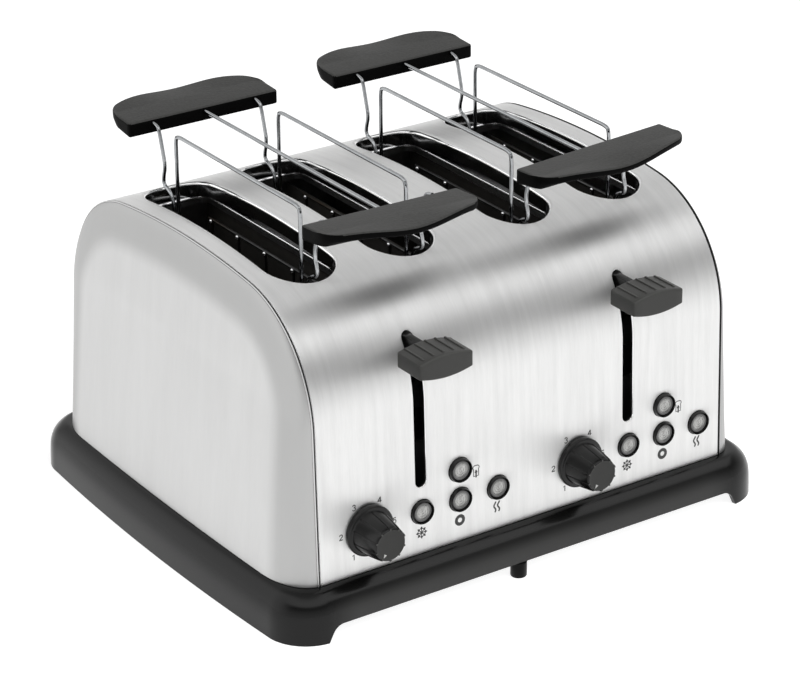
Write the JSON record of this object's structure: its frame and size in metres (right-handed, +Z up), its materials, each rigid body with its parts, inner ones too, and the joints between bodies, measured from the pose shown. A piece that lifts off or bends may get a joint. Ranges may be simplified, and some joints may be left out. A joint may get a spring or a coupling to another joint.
{
  "type": "four-slot toaster",
  "caption": "Four-slot toaster: arched brushed-steel body on a black plinth, with levers, dials, round buttons, crumb trays and lift-off wire warming racks.",
  "frame": {"origin": "middle of the footprint on the table, below the centre of the overall box", "axes": "+X to the right seen from the control side, +Y to the back, +Z up"},
  "size_m": [0.336, 0.3104, 0.2261],
  "materials": {
    "brushed_steel": "brushed stainless steel, upright grain on the front",
    "satin_steel": "fine satin stainless steel",
    "plain_steel": "plain plated steel sheet, slightly dull",
    "bright_wire": "plated steel wire",
    "chromed_wire": "bright chromed wire",
    "mica": "dull mica board",
    "black_plastic": "satin black moulded plastic",
    "grained_plastic": "matt black plastic with a fine moulded grain",
    "knob_plastic": "satin black plastic",
    "button_plastic": "smoked translucent button in a black ring",
    "grey_plastic": "dull heat-proof plastic",
    "black_rubber": "dull black rubber"
  },
  "bodies": {
    "housing": {"base_plinth": "black_plastic", "bottom_plate": "plain_steel", "centre_foot": "black_rubber", "centre_shell": "brushed_steel", "left_end_panel": "satin_steel", "right_end_panel": "satin_steel", "front_bulkhead": "plain_steel", "rear_bulkhead": "plain_steel", "chamber_plate": "plain_steel", "left_outer_heater_board": "mica", "left_middle_heater_board": "mica", "left_inner_heater_board": "mica", "right_inner_heater_board": "mica", "right_middle_heater_board": "mica", "right_outer_heater_board": "mica", "left_control_housing": "grey_plastic", "right_control_housing": "grey_plastic", "left_dial_potentiometer": "grey_plastic", "right_dial_potentiometer": "grey_plastic", "left_guide_rod": "bright_wire", "right_guide_rod": "bright_wire", "cord_gland": "black_rubber"},
    "left_lever_carriage": {"left_lever_knob": "knob_plastic", "left_carriage": "plain_steel", "left_outer_bread_rest": "plain_steel", "left_inner_bread_rest": "plain_steel"},
    "right_lever_carriage": {"right_lever_knob": "knob_plastic", "right_carriage": "plain_steel", "right_outer_bread_rest": "plain_steel", "right_inner_bread_rest": "plain_steel"},
    "left_dial": {"left_browning_dial": "knob_plastic"},
    "right_dial": {"right_browning_dial": "knob_plastic"},
    "left_defrost": {"left_defrost_button": "button_plastic"},
    "left_cancel": {"left_cancel_button": "button_plastic"},
    "left_bun": {"left_bun_button": "button_plastic"},
    "left_reheat": {"left_reheat_button": "button_plastic"},
    "right_defrost": {"right_defrost_button": "button_plastic"},
    "right_cancel": {"right_cancel_button": "button_plastic"},
    "right_bun": {"right_bun_button": "button_plastic"},
    "right_reheat": {"right_reheat_button": "button_plastic"},
    "left_rack": {"left_rack_front_handle": "grained_plastic", "left_rack_rear_handle": "grained_plastic", "left_rack_outer_wire": "chromed_wire", "left_rack_inner_wire": "chromed_wire", "left_rack_centre_wire": "chromed_wire"},
    "right_rack": {"right_rack_front_handle": "grained_plastic", "right_rack_rear_handle": "grained_plastic", "right_rack_outer_wire": "chromed_wire", "right_rack_inner_wire": "chromed_wire", "right_rack_centre_wire": "chromed_wire"},
    "left_tray": {"left_crumb_tray": "satin_steel"},
    "right_tray": {"right_crumb_tray": "satin_steel"},
    "left_outer_guide_a": {"left_outer_slot_guide_a": "bright_wire"},
    "left_outer_guide_b": {"left_outer_slot_guide_b": "bright_wire"},
    "left_inner_guide_a": {"left_inner_slot_guide_a": "bright_wire"},
    "left_inner_guide_b": {"left_inner_slot_guide_b": "bright_wire"},
    "right_inner_guide_a": {"right_inner_slot_guide_a": "bright_wire"},
    "right_inner_guide_b": {"right_inner_slot_guide_b": "bright_wire"},
    "right_outer_guide_a": {"right_outer_slot_guide_a": "bright_wire"},
    "right_outer_guide_b": {"right_outer_slot_guide_b": "bright_wire"}
  },
  "joints": [
    {"name": "left_lever_slide", "type": "slide", "parent": "housing", "child": "left_lever_carriage", "axis": [0, 0, 1], "range_m": [-0.072, 0], "stiffness_N_per_m": 60, "springref_m": 0.08},
    {"name": "right_lever_slide", "type": "slide", "parent": "housing", "child": "right_lever_carriage", "axis": [0, 0, 1], "range_m": [-0.072, 0], "stiffness_N_per_m": 60, "springref_m": 0.08},
    {"name": "left_dial_turn", "type": "hinge", "parent": "housing", "child": "left_dial", "pos_m": [-0.10585, -0.13, 0.0526], "axis": [0, 1, 0], "range_deg": [0, 296]},
    {"name": "right_dial_turn", "type": "hinge", "parent": "housing", "child": "right_dial", "pos_m": [0.03545, -0.13, 0.0526], "axis": [0, 1, 0], "range_deg": [0, 296]},
    {"name": "left_defrost_push", "type": "slide", "parent": "housing", "child": "left_defrost", "axis": [0, 1, 0], "range_m": [0, 0.0018], "stiffness_N_per_m": 300, "springref_m": -0.0015},
    {"name": "left_cancel_push", "type": "slide", "parent": "housing", "child": "left_cancel", "axis": [0, 1, 0], "range_m": [0, 0.0018], "stiffness_N_per_m": 300, "springref_m": -0.0015},
    {"name": "left_bun_push", "type": "slide", "parent": "housing", "child": "left_bun", "axis": [0, 1, 0], "range_m": [0, 0.0018], "stiffness_N_per_m": 300, "springref_m": -0.0015},
    {"name": "left_reheat_push", "type": "slide", "parent": "housing", "child": "left_reheat", "axis": [0, 1, 0], "range_m": [0, 0.0018], "stiffness_N_per_m": 300, "springref_m": -0.0015},
    {"name": "right_defrost_push", "type": "slide", "parent": "housing", "child": "right_defrost", "axis": [0, 1, 0], "range_m": [0, 0.0018], "stiffness_N_per_m": 300, "springref_m": -0.0015},
    {"name": "right_cancel_push", "type": "slide", "parent": "housing", "child": "right_cancel", "axis": [0, 1, 0], "range_m": [0, 0.0018], "stiffness_N_per_m": 300, "springref_m": -0.0015},
    {"name": "right_bun_push", "type": "slide", "parent": "housing", "child": "right_bun", "axis": [0, 1, 0], "range_m": [0, 0.0018], "stiffness_N_per_m": 300, "springref_m": -0.0015},
    {"name": "right_reheat_push", "type": "slide", "parent": "housing", "child": "right_reheat", "axis": [0, 1, 0], "range_m": [0, 0.0018], "stiffness_N_per_m": 300, "springref_m": -0.0015},
    {"name": "left_rack_lift", "type": "slide", "parent": "housing", "child": "left_rack", "axis": [0, 0, 1], "range_m": [0, 0.09]},
    {"name": "right_rack_lift", "type": "slide", "parent": "housing", "child": "right_rack", "axis": [0, 0, 1], "range_m": [0, 0.09]},
    {"name": "left_tray_pull", "type": "slide", "parent": "housing", "child": "left_tray", "axis": [0, 1, 0], "range_m": [0, 0.25]},
    {"name": "right_tray_pull", "type": "slide", "parent": "housing", "child": "right_tray", "axis": [0, 1, 0], "range_m": [0, 0.25]},
    {"name": "left_outer_guide_a_swing", "type": "hinge", "parent": "housing", "child": "left_outer_guide_a", "pos_m": [-0.1209, 0, 0.037], "axis": [0, 1, 0], "range_deg": [0, 4]},
    {"name": "left_outer_guide_b_swing", "type": "hinge", "parent": "housing", "child": "left_outer_guide_b", "pos_m": [-0.0859, 0, 0.037], "axis": [0, -1, 0], "range_deg": [0, 4]},
    {"name": "left_inner_guide_a_swing", "type": "hinge", "parent": "housing", "child": "left_inner_guide_a", "pos_m": [-0.057, 0, 0.037], "axis": [0, 1, 0], "range_deg": [0, 4]},
    {"name": "left_inner_guide_b_swing", "type": "hinge", "parent": "housing", "child": "left_inner_guide_b", "pos_m": [-0.022, 0, 0.037], "axis": [0, -1, 0], "range_deg": [0, 4]},
    {"name": "right_inner_guide_a_swing", "type": "hinge", "parent": "housing", "child": "right_inner_guide_a", "pos_m": [0.022, 0, 0.037], "axis": [0, 1, 0], "range_deg": [0, 4]},
    {"name": "right_inner_guide_b_swing", "type": "hinge", "parent": "housing", "child": "right_inner_guide_b", "pos_m": [0.057, 0, 0.037], "axis": [0, -1, 0], "range_deg": [0, 4]},
    {"name": "right_outer_guide_a_swing", "type": "hinge", "parent": "housing", "child": "right_outer_guide_a", "pos_m": [0.0859, 0, 0.037], "axis": [0, 1, 0], "range_deg": [0, 4]},
    {"name": "right_outer_guide_b_swing", "type": "hinge", "parent": "housing", "child": "right_outer_guide_b", "pos_m": [0.1209, 0, 0.037], "axis": [0, -1, 0], "range_deg": [0, 4]}
  ],
  "couplings": [
    {"joint": "left_outer_guide_a_swing", "follows": "left_lever_slide", "rad_per_m": -0.965},
    {"joint": "left_outer_guide_b_swing", "follows": "left_lever_slide", "rad_per_m": -0.965},
    {"joint": "left_inner_guide_a_swing", "follows": "left_lever_slide", "rad_per_m": -0.965},
    {"joint": "left_inner_guide_b_swing", "follows": "left_lever_slide", "rad_per_m": -0.965},
    {"joint": "right_inner_guide_a_swing", "follows": "right_lever_slide", "rad_per_m": -0.965},
    {"joint": "right_inner_guide_b_swing", "follows": "right_lever_slide", "rad_per_m": -0.965},
    {"joint": "right_outer_guide_a_swing", "follows": "right_lever_slide", "rad_per_m": -0.965},
    {"joint": "right_outer_guide_b_swing", "follows": "right_lever_slide", "rad_per_m": -0.965}
  ]
}
